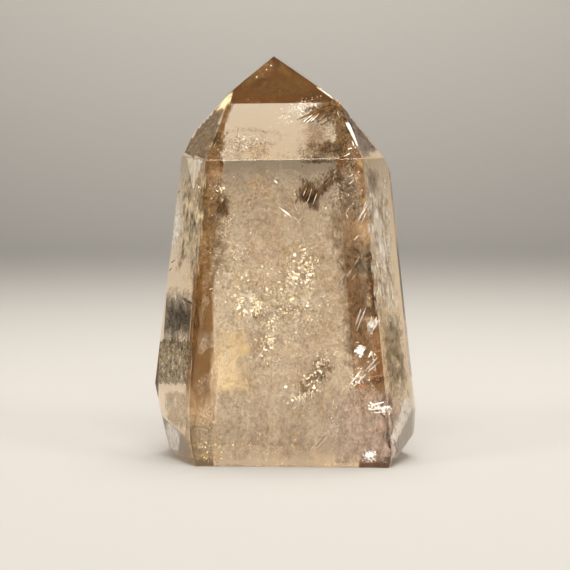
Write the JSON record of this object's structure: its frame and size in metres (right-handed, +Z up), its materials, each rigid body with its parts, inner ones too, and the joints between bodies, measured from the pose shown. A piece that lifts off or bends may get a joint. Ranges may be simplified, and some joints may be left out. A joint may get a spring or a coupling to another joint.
{
  "type": "citrine crystal point",
  "caption": "Polished pale citrine quartz point: a clear tapering six-sided tower with a faceted tip, bevelled foot and flat base to stand on.",
  "frame": {"origin": "middle of the crystal's outline at the foot's underside, on the surface that it stands on", "axes": "+Z up along the crystal to its tip, -Y out of the broad front side, +X to the right seen from the front"},
  "size_m": [0.0587, 0.0449, 0.0899],
  "materials": {
    "citrine_quartz": "polished clear quartz, pale smoky honey, see-through, with healed fractures, veils and flecks inside"
  },
  "bodies": {
    "root": {"crystal_point": "citrine_quartz"}
  },
  "joints": []
}
